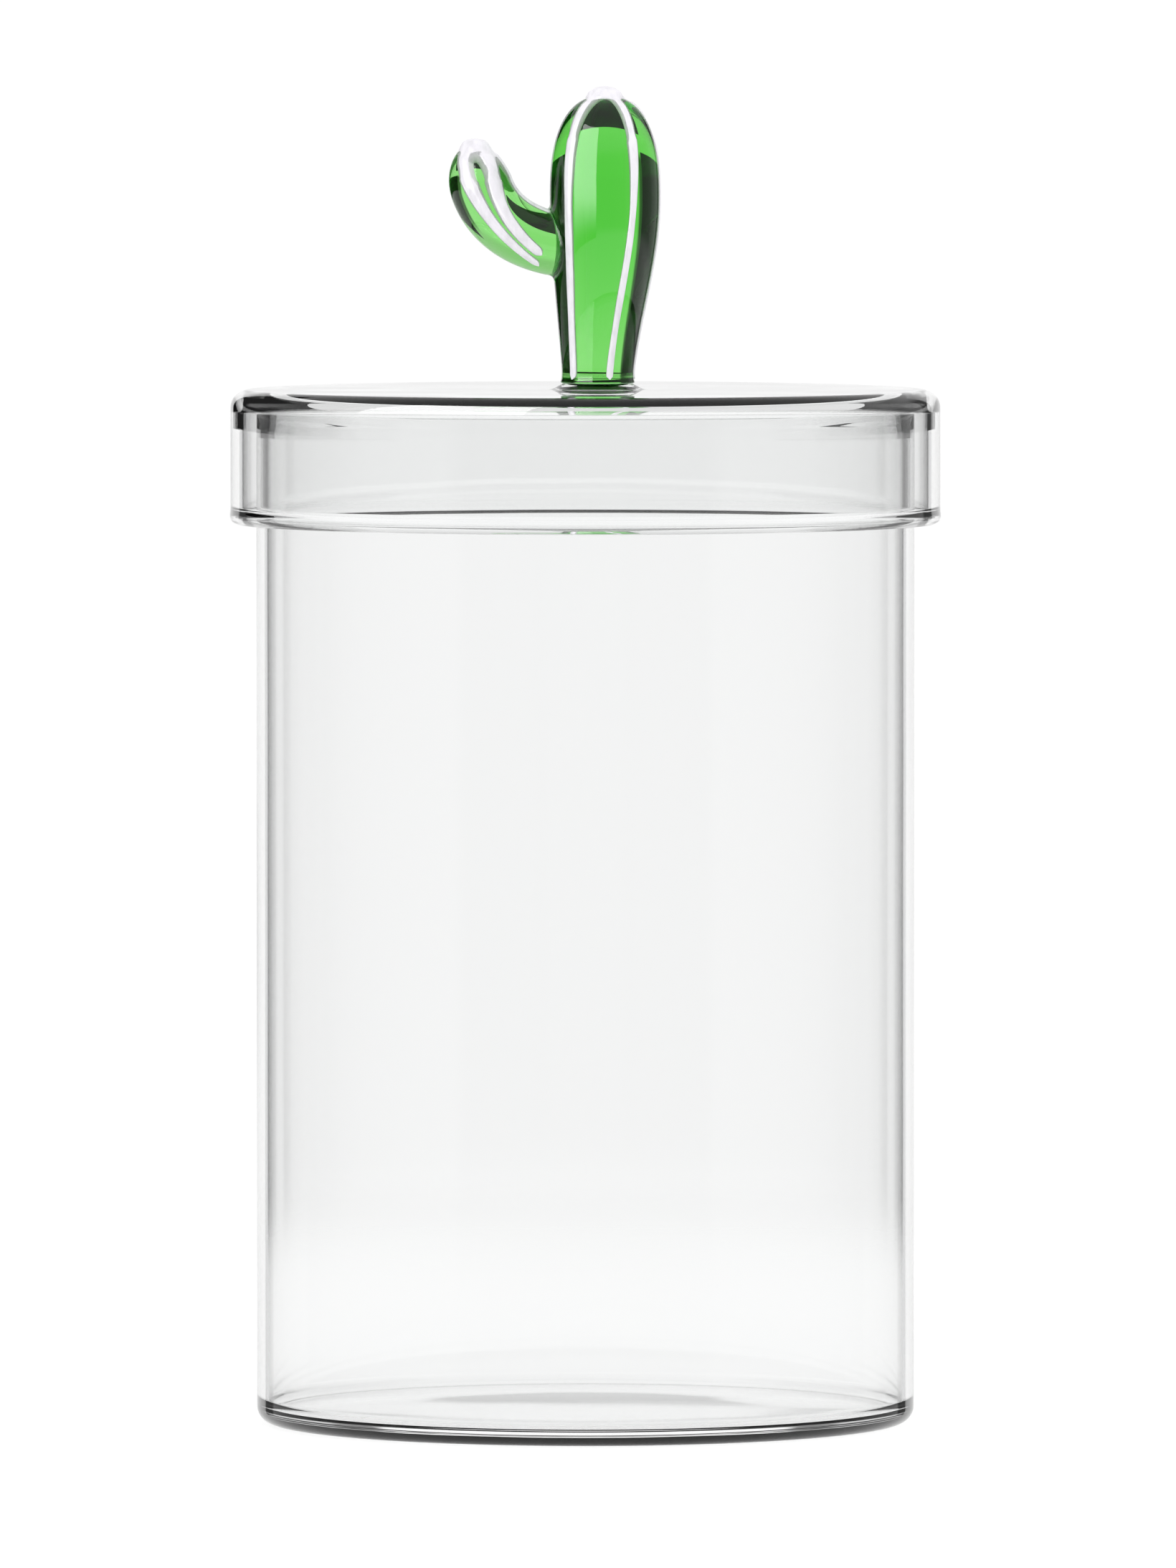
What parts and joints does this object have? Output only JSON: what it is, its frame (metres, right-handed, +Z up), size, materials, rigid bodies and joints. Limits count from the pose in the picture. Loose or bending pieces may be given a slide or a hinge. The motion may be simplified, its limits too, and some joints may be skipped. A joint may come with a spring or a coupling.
{
  "type": "lidded glass storage jar",
  "caption": "Clear cylindrical glass storage jar with a loose slip-over glass lid whose knob is a green glass cactus with white glass lines.",
  "frame": {"origin": "middle of the jar's footprint on the surface it stands on, on the jar's axis", "axes": "+Z up along the jar's axis; -Y is the front, from which the cactus knob's arm is on the left, so the arm points to -X"},
  "size_m": [0.1102, 0.1102, 0.2073],
  "materials": {
    "clear_glass": "clear, blown and fire-polished",
    "green_glass": "transparent bright green, fire-polished, dark where it is thick or seen edge on",
    "white_glass": "opaque white opal, glossy"
  },
  "bodies": {
    "jar": {"jar_body": "clear_glass"},
    "lid": {"lid_cap": "clear_glass", "knob_pad": "clear_glass", "cactus_stem": "green_glass", "cactus_arm": "green_glass", "stem_thread_1": "white_glass", "stem_thread_2": "white_glass", "stem_thread_3": "white_glass", "stem_thread_4": "white_glass", "stem_thread_5": "white_glass", "arm_thread_1": "white_glass", "arm_thread_2": "white_glass", "arm_thread_3": "white_glass", "arm_thread_4": "white_glass", "arm_thread_5": "white_glass", "stem_tip_bead": "white_glass", "arm_tip_bead": "white_glass"}
  },
  "joints": [
    {"name": "lid_lift", "type": "slide", "parent": "jar", "child": "lid", "axis": [0, 0, 1], "range_m": [0, 0.12]}
  ]
}
